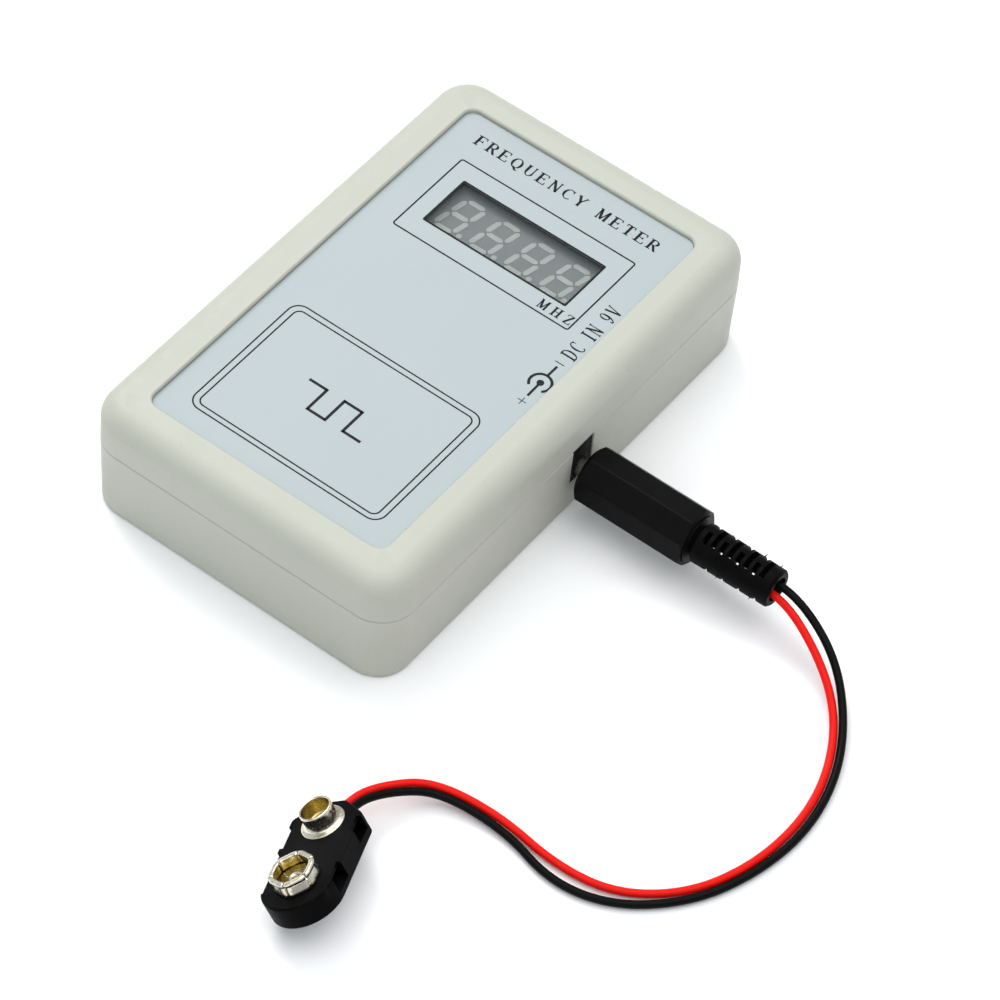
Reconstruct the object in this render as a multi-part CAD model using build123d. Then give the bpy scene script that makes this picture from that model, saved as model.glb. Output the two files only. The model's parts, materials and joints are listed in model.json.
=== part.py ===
from build123d import *
import math
import os

# Handheld frequency counter with its battery lead plugged in.
# Frame: +Z up, +Y towards the display end, +X towards the power socket.
# Origin: centre of the case's base, on the surface that the case stands on.

# ----------------------------------------------------------------- driving dimensions, mm
CASE_WIDTH = 63.8
CASE_LENGTH = 101.8
CASE_HEIGHT = 24.0
PARTING_Z = 15.0
WALL = 2.0
CEILING_Z = 21.3
CORNER_R = 6.6
TOP_EDGE_R = 4.0
BASE_EDGE_R = 0.7
DRAFT = 0.95            # degrees, both shells narrow away from the parting line
RIM_GROOVE = 0.2        # chamfer on each rim where the two shells meet

LIP_INSET = 1.05
LIP_THICKNESS = 0.85
LIP_HEIGHT = 1.5

LABEL_WIDTH = 49.0
LABEL_LENGTH = 87.5
LABEL_CORNER_R = 2.0
LABEL_THICKNESS = 0.25
LABEL_FACE_Z = 23.15
RECESS_BEVEL = 0.25

WINDOW_CENTRE = (0.1, 23.7)
WINDOW_SIZE = (30.0, 11.3)
COVER_OPENING_SIZE = (31.4, 12.7)
FILTER_SIZE = (33.0, 14.4)
FILTER_THICKNESS = 0.8

BOARD_WIDTH = 56.0
BOARD_LENGTH = 78.0
BOARD_THICKNESS = 1.6
BOARD_BASE_Z = 12.3
BOARD_TOP_Z = BOARD_BASE_Z + BOARD_THICKNESS

CASE_SCREW_X, CASE_SCREW_Y = 25.0, 44.0
BOARD_SCREW_X, BOARD_SCREW_Y = 24.0, 35.0

DISPLAY_SIZE = (31.6, 14.2, 7.2)
DIGIT_COUNT = 4
DIGITS_CENTRE = (-0.35, 23.95)
DIGIT_PITCH = 7.48
DIGIT_HEIGHT = 8.8
DIGIT_WIDTH = 5.0
DIGIT_SLANT = 10.0      # degrees
SEGMENT_WIDTH = 1.02
SEGMENT_GAP = 0.24
SEGMENT_RELIEF = 0.06
DOT_R = 0.52

SOCKET_Y, SOCKET_Z = 1.95, 8.6          # axis of the power socket and of the plug in it
SOCKET_OPENING_Y = (-1.0, 4.9)
SOCKET_OPENING_Z = 6.5
SOCKET_FACE_X = 31.6
SOCKET_BODY_LENGTH = 10.7
SOCKET_FLANGE = (29.0, 14.85)           # how far in the front plate starts, and its top
SOCKET_BODY_WIDTH = 5.5
SOCKET_BODY_BASE_Z = 6.55
SOCKET_BORE_R = 1.83
SOCKET_PIN_R = 0.65

BARREL_R = 1.75                         # 3.5 mm plug for a 1.3 mm centre pin
BARREL_BORE_R = 1.35
BARREL_LENGTH = 9.5
CENTRE_CONTACT_R = 0.95
CENTRE_CONTACT_BORE_R = 0.70
BARREL_TAB_OFFSET = 1.9                 # height of the barrel's solder tab above the plug's axis
TAB_END = 15.15                         # how far both solder tabs reach behind the shell's front
SHELL_FRONT_X = 33.75
SHELL_LENGTH = 22.1
SHELL_FLATS = 10.2                      # across the flats of its eight sides
SHELL_BORE_R = 3.9
PLUG_ROLL = -7.0                        # how far the plug is turned in its socket, degrees
RELIEF_NECK = 0.9                       # gap behind the shell, where the sleeve is narrow
RELIEF_LENGTH = 15.25
RELIEF_START_R, RELIEF_END_R = 3.7, 3.5
RELIEF_BORE_R = 2.25
RELIEF_SLOT_START = 1.4
RELIEF_SLOT_SPACING = 1.62
RELIEF_SLOT_WIDTH = 0.95
RELIEF_SLOT_COUNT = 8
# Arcs that the slots take up, in degrees from +Y towards +Z; the two rings of slots alternate.
RELIEF_SLOT_ARCS = (((88, 126), (4, 64), (-91, -26)), ((49, 122), (-91, -30), (-175, -111)))

WIRE_R = 0.71
SNAP_POSITION = (45.55, -87.35, 8.0)     # midway between the studs, on the snap's upper face
SNAP_HEADING = -70.0                    # direction from the cup stud to the crown, about +Z
SNAP_PITCH = 7.0                        # crown end up
SNAP_LEAN = 30.7                        # about its own length
STUD_PITCH = 12.7
SNAP_HALF_WIDTH = 6.5
SNAP_THICKNESS = 4.3
SNAP_WALL = 1.1
SNAP_TOP = 1.2
CUP_R, CUP_HEIGHT = 2.82, 3.4
CUP_FLANGE_R = 3.8
CROWN_R, CROWN_HEIGHT = 3.95, 2.7
SNAP_EDGE_R = 0.35
SNAP_WINDOWS = ((-7.2, -3.6, -2.7), (3.0, 7.0, -3.1))   # from, to, depth: openings on the raised side
SNAP_RECESSES = ((-6.4, -1.4), (-0.65, 8.6))            # from, to: recesses on the lowered side

SOCKET_TIP_X = SHELL_FRONT_X - BARREL_LENGTH
SHELL_REAR_X = SHELL_FRONT_X + SHELL_LENGTH
RELIEF_START_X = SHELL_REAR_X + RELIEF_NECK + 0.2
RELIEF_END_X = RELIEF_START_X + RELIEF_LENGTH


def snap_frame():
    """Where the snap lies: its length along local X, its studs along local +Z."""
    heading, pitch, lean = Rot(0, 0, SNAP_HEADING), Rot(0, -SNAP_PITCH, 0), Rot(SNAP_LEAN, 0, 0)
    return Pos(*SNAP_POSITION) * heading * pitch * lean


def snap_point(x, y, z):
    place = snap_frame() * Pos(x, y, z)
    return (place.position.X, place.position.Y, place.position.Z)


# Routes of the two wires, from their solder tabs in the plug to those in the snap.
# They leave the strain relief, drop to the surface and lie there side by side.
RED_ROUTE = [
    (48.0, SOCKET_Y, SOCKET_Z),
    (57.0, SOCKET_Y - 0.8, SOCKET_Z - 0.5),
    (68.0, SOCKET_Y - 0.8, SOCKET_Z - 0.5),
    (75.3, 1.3, 7.5),
    (85.7, -3.1, 3.9),
    (92.8, -9.3, 1.5),
    (97.8, -19.3, 0.9),
    (99.5, -29.7, 0.75),
    (98.1, -41.1, 0.75),
    (93.5, -51.4, 0.75),
    (84.9, -58.8, 0.75),
    (74.2, -60.6, 0.75),
    (61.6, -58.8, 1.0),
    (49.9, -61.1, 2.4),
    (44.7, -67.6, 3.7),
    (42.5, -73.5, 4.5),
    snap_point(-9.2, -0.6, -2.19),
]
BLACK_ROUTE = [
    (48.0, SOCKET_Y, SOCKET_Z + BARREL_TAB_OFFSET),
    (57.0, SOCKET_Y + 0.8, SOCKET_Z + 0.5),
    (68.0, SOCKET_Y + 0.8, SOCKET_Z + 0.5),
    (76.3, 2.9, 8.4),
    (86.3, -0.6, 4.6),
    (94.1, -8.6, 1.7),
    (99.3, -18.8, 0.9),
    (101.2, -30.4, 0.75),
    (99.4, -42.0, 0.75),
    (94.8, -52.4, 0.75),
    (86.0, -60.9, 0.75),
    (75.4, -63.7, 0.75),
    (64.1, -60.5, 0.9),
    (52.0, -61.8, 2.0),
    (46.9, -67.1, 3.6),
    (43.7, -73.8, 5.0),
    snap_point(-9.2, 1.7, -2.19),
]


# ----------------------------------------------------------------------- small helpers
def slab(width, length, corner, low, high, centre=(0.0, 0.0)):
    """Upright block with rounded vertical corners, between two heights."""
    outline = RectangleRounded(width, length, corner) if corner else Rectangle(width, length)
    return Pos(centre[0], centre[1], low) * extrude(outline, high - low)


def post(radius, low, high, x=0.0, y=0.0):
    """Upright round post between two heights."""
    return Pos(x, y, low) * extrude(Circle(radius), high - low)


def rod(radius, start, end, y=SOCKET_Y, z=SOCKET_Z):
    """Round bar along X between two stations."""
    section = Plane((start, y, z), x_dir=(0, 1, 0), z_dir=(1, 0, 0)) * Circle(radius)
    return extrude(section, end - start)


def block(low, high):
    """Box between two opposite corners."""
    size = [b - a for a, b in zip(low, high)]
    middle = [(a + b) / 2 for a, b in zip(low, high)]
    return Pos(*middle) * Box(*size)


def four_corners(x, y):
    return [(sx * x, sy * y) for sx in (-1, 1) for sy in (-1, 1)]


def all_of(solids):
    return Compound(children=list(solids))


def drafted(inset, start, end, corner):
    """Block that narrows from the parting line towards one end, inset from the case's outside."""
    width, length = CASE_WIDTH - 2 * inset, CASE_LENGTH - 2 * inset
    facing = 1 if end > start else -1
    plane = Plane((0, 0, start), x_dir=(1, 0, 0), z_dir=(0, 0, facing))
    return plane * extrude(RectangleRounded(width, length, corner), abs(end - start), taper=DRAFT)


def edges_at(solid, z):
    return solid.edges().filter_by_position(Axis.Z, z - 0.01, z + 0.01)


# ------------------------------------------------------------------------------- case
def make_top_cover():
    outside = drafted(0.0, PARTING_Z, CASE_HEIGHT, CORNER_R)
    outside = fillet(edges_at(outside, CASE_HEIGHT), TOP_EDGE_R)
    outside = chamfer(edges_at(outside, PARTING_Z), RIM_GROOVE)
    inside = drafted(WALL, PARTING_Z, CEILING_Z, CORNER_R - WALL)
    inside = fillet(edges_at(inside, CEILING_Z), TOP_EDGE_R - WALL)
    rebate_inset = LIP_INSET - 0.1
    rebate = slab(CASE_WIDTH - 2 * rebate_inset, CASE_LENGTH - 2 * rebate_inset, CORNER_R - 1,
                  PARTING_Z, PARTING_Z + LIP_HEIGHT + 0.15)
    cover = outside - inside - rebate
    label_floor = LABEL_FACE_Z - LABEL_THICKNESS
    cover -= slab(LABEL_WIDTH, LABEL_LENGTH, LABEL_CORNER_R + 0.2, label_floor, CASE_HEIGHT + 1)
    recess_rim = RectangleRounded(LABEL_WIDTH, LABEL_LENGTH, LABEL_CORNER_R + 0.2)
    cover -= Pos(0, 0, CASE_HEIGHT - RECESS_BEVEL) * extrude(recess_rim, 2 * RECESS_BEVEL, taper=-45)
    cover -= slab(*FILTER_SIZE, 0.6, label_floor - FILTER_THICKNESS, label_floor + 1, WINDOW_CENTRE)
    cover -= slab(*COVER_OPENING_SIZE, 0.3, CEILING_Z - 1, CASE_HEIGHT, WINDOW_CENTRE)
    for x, y in four_corners(CASE_SCREW_X, CASE_SCREW_Y):
        cover += post(3.2, PARTING_Z, CEILING_Z + 0.5, x, y)
        cover -= post(1.35, PARTING_Z - 1, 20.6, x, y)
    for x, y in four_corners(BOARD_SCREW_X, BOARD_SCREW_Y):
        cover += post(2.4, BOARD_TOP_Z, CEILING_Z + 0.5, x, y)
        cover -= post(1.0, BOARD_TOP_Z - 1, 19.5, x, y)
    return cover


def make_bottom_cover():
    outside = drafted(0.0, PARTING_Z, 0.0, CORNER_R)
    outside = fillet(edges_at(outside, 0.0), BASE_EDGE_R)
    outside = chamfer(edges_at(outside, PARTING_Z), RIM_GROOVE)
    inside = drafted(WALL, PARTING_Z, WALL, CORNER_R - WALL)
    lip_width, lip_length = CASE_WIDTH - 2 * LIP_INSET, CASE_LENGTH - 2 * LIP_INSET
    lip = slab(lip_width, lip_length, CORNER_R - 1.1, PARTING_Z - 1.5, PARTING_Z + LIP_HEIGHT)
    lip -= slab(lip_width - 2 * LIP_THICKNESS, lip_length - 2 * LIP_THICKNESS, CORNER_R - 2,
                PARTING_Z - 2, PARTING_Z + LIP_HEIGHT + 1)
    cover = outside - inside + lip
    for x, y in four_corners(CASE_SCREW_X, CASE_SCREW_Y):
        cover += post(3.2, 0.5, PARTING_Z, x, y)
        cover -= post(2.8, -1, 8.0, x, y)
        cover -= post(1.6, 7.0, PARTING_Z + 1, x, y)
    inner_x = CASE_WIDTH / 2 - WALL - 1.5
    cover -= block((inner_x, SOCKET_OPENING_Y[0], SOCKET_OPENING_Z),
                   (CASE_WIDTH / 2 + 1, SOCKET_OPENING_Y[1], PARTING_Z + LIP_HEIGHT + 1))
    return cover


def make_front_label():
    low = LABEL_FACE_Z - LABEL_THICKNESS
    label = slab(LABEL_WIDTH - 0.2, LABEL_LENGTH - 0.2, LABEL_CORNER_R, low, LABEL_FACE_Z)
    return label - slab(*WINDOW_SIZE, 0, low - 1, LABEL_FACE_Z + 1, WINDOW_CENTRE)


def make_display_window():
    high = LABEL_FACE_Z - LABEL_THICKNESS
    width, length = (side - 0.2 for side in FILTER_SIZE)
    return slab(width, length, 0.5, high - FILTER_THICKNESS, high, WINDOW_CENTRE)


def cross_slot(radius, top, depth):
    """Crosshead recess, cut from below into a screw head whose face is at the height top."""
    arm = Box(radius * 1.2, 0.5, 2 * depth) + Box(0.5, radius * 1.2, 2 * depth)
    return Pos(0, 0, top) * arm


def make_case_screws():
    screws = []
    for x, y in four_corners(CASE_SCREW_X, CASE_SCREW_Y):
        head = fillet(edges_at(post(2.5, 6.0, 8.0), 6.0), 0.7) - cross_slot(2.5, 6.0, 1.1)
        screws.append(Pos(x, y, 0) * (head + post(1.3, 7.5, 19.8)))
    return all_of(screws)


# -------------------------------------------------------------------------- electronics
def display_pin_places():
    cx, cy = WINDOW_CENTRE
    return [(cx + (i - 2.5) * 2.54, cy + side * 5.08) for i in range(6) for side in (-1, 1)]


CONTROLLER_CENTRE = (-2.0, -2.0)
PRESCALER_CENTRE = (-15.0, -17.0)
REGULATOR_CENTRE = (16.0, -13.0)
CRYSTAL_CENTRE = (1.0, -12.5)
CAPACITOR_CENTRES = [(20.5, 10.0), (21.0, -22.0)]
DIODE_CENTRE = (10.5, 2.0)
LOOP_CENTRE = (0.0, -29.0)
LOOP_SIZE = (34.0, 9.0)
LEG_R = 0.28
LEG_HOLE_R = 0.4


def controller_leg_places():
    cx, cy = CONTROLLER_CENTRE
    return [(cx + (i - 4) * 2.54, cy + side * 3.81) for i in range(9) for side in (-1, 1)]


def regulator_leg_places():
    cx, cy = REGULATOR_CENTRE
    return [(cx + (i - 1) * 1.27, cy) for i in range(3)]


def crystal_leg_places():
    cx, cy = CRYSTAL_CENTRE
    return [(cx - 2.44, cy), (cx + 2.44, cy)]


def capacitor_leg_places():
    return [(x + side, y) for x, y in CAPACITOR_CENTRES for side in (-1.0, 1.0)]


def diode_leg_places():
    cx, cy = DIODE_CENTRE
    return [(cx, cy - 5.08), (cx, cy + 5.08)]


def loop_leg_places():
    cx, cy = LOOP_CENTRE
    return [(cx - 1.5, cy + LOOP_SIZE[1] / 2), (cx + 1.5, cy + LOOP_SIZE[1] / 2)]


SOCKET_LEGS = [(20.3, SOCKET_Y), (24.2, SOCKET_Y), (26.4, SOCKET_Y - 2.3)]


def make_main_pcb():
    board = slab(BOARD_WIDTH, BOARD_LENGTH, 1.5, BOARD_BASE_Z, BOARD_TOP_Z)
    for x, y in four_corners(BOARD_SCREW_X, BOARD_SCREW_Y):
        board -= post(1.2, BOARD_BASE_Z - 1, BOARD_TOP_Z + 1, x, y)
    legs = (display_pin_places() + controller_leg_places() + regulator_leg_places()
            + crystal_leg_places() + capacitor_leg_places() + diode_leg_places())
    holes = [post(LEG_HOLE_R, BOARD_BASE_Z - 1, BOARD_TOP_Z + 1, x, y) for x, y in legs]
    holes += [post(0.75, BOARD_BASE_Z - 1, BOARD_TOP_Z + 1, x, y) for x, y in SOCKET_LEGS]
    holes += [post(0.6, BOARD_BASE_Z - 1, BOARD_TOP_Z + 1, x, y) for x, y in loop_leg_places()]
    return board - holes


def make_pcb_screws():
    screws = []
    for x, y in four_corners(BOARD_SCREW_X, BOARD_SCREW_Y):
        low = BOARD_BASE_Z - 1.4
        head = fillet(edges_at(post(2.0, low, BOARD_BASE_Z), low), 0.5) - cross_slot(2.0, low, 0.8)
        screws.append(Pos(x, y, 0) * (head + post(0.95, BOARD_BASE_Z - 0.3, 18.8)))
    return all_of(screws)


def make_led_display_body():
    width, length, height = DISPLAY_SIZE
    body = slab(width, length, 0.3, BOARD_TOP_Z, BOARD_TOP_Z + height, WINDOW_CENTRE)
    for x, y in display_pin_places():
        body -= post(LEG_R, BOARD_TOP_Z - 1, BOARD_TOP_Z + 1.5, x, y)
    return body


def make_led_display_pins():
    return all_of(post(LEG_R, BOARD_BASE_Z - 1.6, BOARD_TOP_Z + 1.5, x, y)
                  for x, y in display_pin_places())


def slanted(x, y):
    return (x + y * math.tan(math.radians(DIGIT_SLANT)), y)


def bar_segment(x, y, length, upright):
    """One segment: a bar with pointed ends, lying across or standing up."""
    half, end = SEGMENT_WIDTH / 2, length / 2
    outline = [(-end, 0), (-end + half, half), (end - half, half), (end, 0),
               (end - half, -half), (-end + half, -half)]
    if upright:
        outline = [(b, a) for a, b in reversed(outline)]
    points = [slanted(x + a, y + b) for a, b in outline]
    return make_face(Polyline(*points, close=True))


def make_led_segments():
    face_z = BOARD_TOP_Z + DISPLAY_SIZE[2]
    across = DIGIT_WIDTH - SEGMENT_WIDTH
    tall = (DIGIT_HEIGHT - SEGMENT_WIDTH) / 2
    solids = []
    for i in range(DIGIT_COUNT):
        shift = Pos(DIGITS_CENTRE[0] + (i - 1.5) * DIGIT_PITCH, DIGITS_CENTRE[1], face_z)
        shapes = [bar_segment(0, y, across - 2 * SEGMENT_GAP, False) for y in (-tall, 0, tall)]
        shapes += [bar_segment(side * across / 2, y, tall - 2 * SEGMENT_GAP, True)
                   for side in (-1, 1) for y in (-tall / 2, tall / 2)]
        dot_x, dot_y = slanted(DIGIT_WIDTH / 2 + 0.75, 0.2 - tall)
        shapes.append(Pos(dot_x, dot_y) * Circle(DOT_R))
        solids += [shift * extrude(shape, SEGMENT_RELIEF) for shape in shapes]
    return all_of(solids)


def make_microcontroller_body():
    cx, cy = CONTROLLER_CENTRE
    body = slab(22.9, 6.4, 0, BOARD_TOP_Z + 0.5, BOARD_TOP_Z + 3.8, CONTROLLER_CENTRE)
    body = chamfer(body.edges().group_by(Axis.Z)[-1], 0.35)
    return body - post(0.9, BOARD_TOP_Z + 3.4, BOARD_TOP_Z + 5, cx - 10.9, cy)


def make_microcontroller_legs():
    cy = CONTROLLER_CENTRE[1]
    legs = []
    for x, y in controller_leg_places():
        out = 1 if y > cy else -1
        foot = block((x - 0.25, min(y, y + 0.25 * out), BOARD_BASE_Z - 1.2),
                     (x + 0.25, max(y, y + 0.25 * out), BOARD_TOP_Z + 2.2))
        side = cy + 3.2 * out
        arm = block((x - 0.6, min(side, y + 0.25 * out), BOARD_TOP_Z + 1.95),
                    (x + 0.6, max(side, y + 0.25 * out), BOARD_TOP_Z + 2.2))
        legs.append(foot + arm)
    return all_of(legs)


def make_prescaler_body():
    body = slab(4.9, 3.9, 0, BOARD_TOP_Z + 0.15, BOARD_TOP_Z + 1.6, PRESCALER_CENTRE)
    return chamfer(body.edges().group_by(Axis.Z)[-1], 0.2)


def make_prescaler_legs():
    cx, cy = PRESCALER_CENTRE
    legs = []
    for i in range(4):
        for out in (-1, 1):
            x = cx + (i - 1.5) * 1.27
            side, toe = cy + 1.95 * out, cy + 3.0 * out
            arm = block((x - 0.2, min(side, toe), BOARD_TOP_Z),
                        (x + 0.2, max(side, toe), BOARD_TOP_Z + 0.2))
            rise = block((x - 0.2, min(side, side + 0.3 * out), BOARD_TOP_Z),
                         (x + 0.2, max(side, side + 0.3 * out), BOARD_TOP_Z + 0.9))
            legs.append(arm + rise)
    return all_of(legs)


def make_voltage_regulator():
    cx, cy = REGULATOR_CENTRE
    body = post(2.4, BOARD_TOP_Z + 1.2, BOARD_TOP_Z + 5.8, cx, cy)
    return body - block((cx - 3, cy - 3, 0), (cx + 3, cy - 1.3, 30))


def make_regulator_legs():
    return all_of(post(LEG_R, BOARD_BASE_Z - 1.2, BOARD_TOP_Z + 1.2, x, y)
                  for x, y in regulator_leg_places())


def make_crystal_can():
    can = slab(11.0, 4.6, 2.2, BOARD_TOP_Z + 0.3, BOARD_TOP_Z + 3.8, CRYSTAL_CENTRE)
    can = fillet(edges_at(can, BOARD_TOP_Z + 3.8), 0.6)
    return can + slab(11.6, 5.2, 2.5, BOARD_TOP_Z, BOARD_TOP_Z + 0.4, CRYSTAL_CENTRE)


def make_crystal_legs():
    return all_of(post(LEG_R, BOARD_BASE_Z - 1.2, BOARD_TOP_Z, x, y)
                  for x, y in crystal_leg_places())


def make_electrolytic_capacitors():
    cans = []
    for x, y in CAPACITOR_CENTRES:
        can = post(2.5, BOARD_TOP_Z, BOARD_TOP_Z + 7.0)
        can = fillet(edges_at(can, BOARD_TOP_Z + 7.0), 0.4)
        ring = post(3, BOARD_TOP_Z + 0.9, BOARD_TOP_Z + 1.4) - post(2.3, 0, 30)
        cans.append(Pos(x, y, 0) * (can - ring))
    return all_of(cans)


def make_capacitor_legs():
    return all_of(post(LEG_R, BOARD_BASE_Z - 1.2, BOARD_TOP_Z, x, y)
                  for x, y in capacitor_leg_places())


def chip(x, y, length, width, height):
    return slab(length, width, 0, BOARD_TOP_Z, BOARD_TOP_Z + height, (x, y))


def make_chip_resistors():
    row = [chip(-13.0 + 3.4 * i, 8.5, 2.0, 1.25, 0.5) for i in range(8)]
    column = [chip(-22.0, -10.0 + 2.6 * i, 2.0, 1.25, 0.5) for i in range(5)]
    return all_of(row + column)


def make_chip_capacitors():
    places = [(-20.0, -17.0), (-15.0, -22.5), (-10.0, -17.0), (-5.0, -17.5), (7.5, -17.5), (14.0, -18.5)]
    return all_of(chip(x, y, 2.0, 1.25, 0.9) for x, y in places)


def make_digit_drivers():
    bodies = []
    for i in range(DIGIT_COUNT):
        x, y = -9.0 + 6.0 * i, 12.8
        body = slab(2.9, 1.3, 0, BOARD_TOP_Z + 0.1, BOARD_TOP_Z + 1.1, (x, y))
        for dx, out in ((-0.95, -1), (0.95, -1), (0.0, 1)):
            near, far = y + 0.65 * out, y + 1.2 * out
            body += block((x + dx - 0.2, min(near, far), BOARD_TOP_Z),
                          (x + dx + 0.2, max(near, far), BOARD_TOP_Z + 0.3))
        bodies.append(body)
    return all_of(bodies)


def make_protection_diode():
    cx, cy = DIODE_CENTRE
    z = BOARD_BASE_Z - 1.5
    lie = Plane((cx, cy, z), x_dir=(1, 0, 0), z_dir=(0, 1, 0))
    body = lie * extrude(Circle(1.35), 2.6, both=True)
    lead = lie * extrude(Circle(LEG_R), 5.08, both=True)
    ends = [post(LEG_R, z, BOARD_TOP_Z + 0.6, x, y) for x, y in diode_leg_places()]
    return body + lead + ends


def make_pickup_loop():
    """Bare wire loop that picks up the transmitter's signal."""
    cx, cy = LOOP_CENTRE
    half_x, half_y = LOOP_SIZE[0] / 2, LOOP_SIZE[1] / 2
    z, foot = BOARD_TOP_Z + 3.5, BOARD_BASE_Z - 0.8
    left, right, near, far = cx - half_x, cx + half_x, cy - half_y, cy + half_y
    corners = [(cx - 1.5, far, foot), (cx - 1.5, far, z), (left, far, z), (left, near, z),
               (right, near, z), (right, far, z), (cx + 1.5, far, z), (cx + 1.5, far, foot)]
    path = FilletPolyline(*corners, radius=1.4)
    return sweep(Plane(corners[0], z_dir=(0, 0, 1)) * Circle(0.45), path=path)


# ------------------------------------------------------------------------ power socket
def make_dc_jack_body():
    half = SOCKET_BODY_WIDTH / 2
    back = SOCKET_FACE_X - SOCKET_BODY_LENGTH
    body = block((back, SOCKET_Y - half, SOCKET_BODY_BASE_Z),
                 (SOCKET_FACE_X, SOCKET_Y + half, BOARD_BASE_Z))
    plate_x, plate_top = SOCKET_FLANGE
    body += block((plate_x, SOCKET_OPENING_Y[0] + 0.15, SOCKET_BODY_BASE_Z),
                  (SOCKET_FACE_X, SOCKET_OPENING_Y[1] - 0.15, plate_top))
    body -= rod(SOCKET_BORE_R, back + 0.8, SOCKET_FACE_X + 1)
    body -= rod(SOCKET_PIN_R, back - 1, back + 2)
    body -= block((22.3, SOCKET_Y - 1.2, SOCKET_Z + 1), (28.95, SOCKET_Y + 1.2, BOARD_BASE_Z + 1))
    body -= block((25.6, SOCKET_Y - half - 1, SOCKET_Z - 0.5),
                  (27.2, SOCKET_Y - half + 0.35, BOARD_BASE_Z + 1))
    mouth = Plane((SOCKET_FACE_X + 0.01, SOCKET_Y, SOCKET_Z), x_dir=(0, 1, 0), z_dir=(-1, 0, 0))
    return body - mouth * extrude(Circle(SOCKET_BORE_R + 0.15), 0.25, taper=40)


def make_dc_jack_centre_pin():
    back = SOCKET_FACE_X - SOCKET_BODY_LENGTH
    pin = rod(SOCKET_PIN_R, back - 0.6, SOCKET_FACE_X - 1.7)
    tip = pin.edges().group_by(Axis.X)[-1]
    leg_x, leg_y = SOCKET_LEGS[0]
    leg = block((leg_x - 0.3, leg_y - 0.5, SOCKET_Z - 0.6), (leg_x, leg_y + 0.5, BOARD_TOP_Z + 0.6))
    return fillet(tip, 0.5) + leg


def make_dc_jack_spring():
    """Leaf that presses on the plug's barrel from above."""
    touch = SOCKET_Z + BARREL_R + 0.06
    leaf = block((22.6, SOCKET_Y - 1.0, touch + 0.45), (28.7, SOCKET_Y + 1.0, touch + 0.7))
    leaf += block((26.6, SOCKET_Y - 0.8, touch), (28.0, SOCKET_Y + 0.8, touch + 0.5))
    leg_x, leg_y = SOCKET_LEGS[1]
    return leaf + block((leg_x - 0.15, leg_y - 0.5, touch + 0.5),
                        (leg_x + 0.15, leg_y + 0.5, BOARD_TOP_Z + 0.6))


def make_dc_jack_switch_contact():
    """Side contact that opens when a plug is in."""
    wall = SOCKET_Y - SOCKET_BODY_WIDTH / 2
    leg_x = SOCKET_LEGS[2][0]
    blade = block((leg_x - 0.6, wall + 0.02, SOCKET_Z - 0.3), (leg_x + 0.6, wall + 0.27, BOARD_BASE_Z))
    return blade + block((leg_x - 0.5, wall + 0.02, BOARD_BASE_Z - 0.5),
                         (leg_x + 0.5, wall + 0.32, BOARD_TOP_Z + 0.6))


# -------------------------------------------------------------------------------- plug
def turned(solid):
    """Turns a piece of the plug about the socket's axis, as the plug lies in it."""
    axis = Axis((0, SOCKET_Y, SOCKET_Z), (1, 0, 0))
    return solid.rotate(axis, PLUG_ROLL)


def octagon_bar(flats, start, end):
    outline = RegularPolygon(flats / 2, 8, major_radius=False, rotation=22.5)
    section = Plane((start, SOCKET_Y, SOCKET_Z), x_dir=(0, 1, 0), z_dir=(1, 0, 0)) * outline
    return extrude(section, end - start)


def turned_bar(start, end):
    """Round bar with bevelled ends, which gives the shell's flats their curved bevels."""
    wide, narrow = 5.9, SHELL_FLATS / 2 - 0.5
    profile = Plane.XZ * make_face(Polyline(
        (start, 0), (start, narrow), (start + 0.8, narrow + 0.9), (start + 0.8, wide),
        (end - 0.5, wide), (end - 0.5, narrow + 0.9), (end, narrow + 0.3), (end, 0), close=True))
    return Pos(0, SOCKET_Y, SOCKET_Z) * revolve(profile, Axis.X)


def make_plug_shell():
    shell = octagon_bar(SHELL_FLATS, SHELL_FRONT_X, SHELL_REAR_X)
    shell = fillet(shell.edges().filter_by(Axis.X), 0.5)
    shell = shell & turned_bar(SHELL_FRONT_X, SHELL_REAR_X)
    shell += rod(4.5, SHELL_REAR_X - 0.2, SHELL_REAR_X + 0.3)
    shell -= rod(SHELL_BORE_R, SHELL_FRONT_X - 1, SHELL_REAR_X - 4.0)
    return turned(shell - rod(2.75, SHELL_REAR_X - 5.0, SHELL_REAR_X + 2))


def make_plug_collar():
    """Threaded body that the shell screws onto."""
    front = SHELL_FRONT_X + 0.5
    collar = rod(SHELL_BORE_R - 0.02, front, front + 6.5)
    for i in range(6):
        groove = rod(5.0, front + 1.0 + 0.9 * i, front + 1.4 + 0.9 * i) - rod(3.6, 0, 90)
        collar -= groove
    return collar - rod(BARREL_R, front - 1, front + 8)


def make_plug_barrel():
    rear = SHELL_FRONT_X + 7.0
    barrel = rod(BARREL_R, SOCKET_TIP_X, rear) + rod(2.6, rear, rear + 0.8)
    barrel -= rod(BARREL_BORE_R, SOCKET_TIP_X - 1, rear + 2)
    barrel = chamfer(barrel.edges().group_by(Axis.X)[0], 0.15)
    tab_z = SOCKET_Z + BARREL_TAB_OFFSET
    return barrel + block((rear + 0.4, SOCKET_Y - 0.9, tab_z - 0.15),
                          (SHELL_FRONT_X + TAB_END, SOCKET_Y + 0.9, tab_z + 0.15))


def make_plug_insulator():
    front, rear = SOCKET_TIP_X + 0.1, SHELL_FRONT_X + 8.4
    sleeve = rod(BARREL_BORE_R - 0.01, front, rear) - rod(CENTRE_CONTACT_R, front - 1, rear + 1)
    return chamfer(sleeve.edges().group_by(Axis.X)[0], 0.1)


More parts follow.
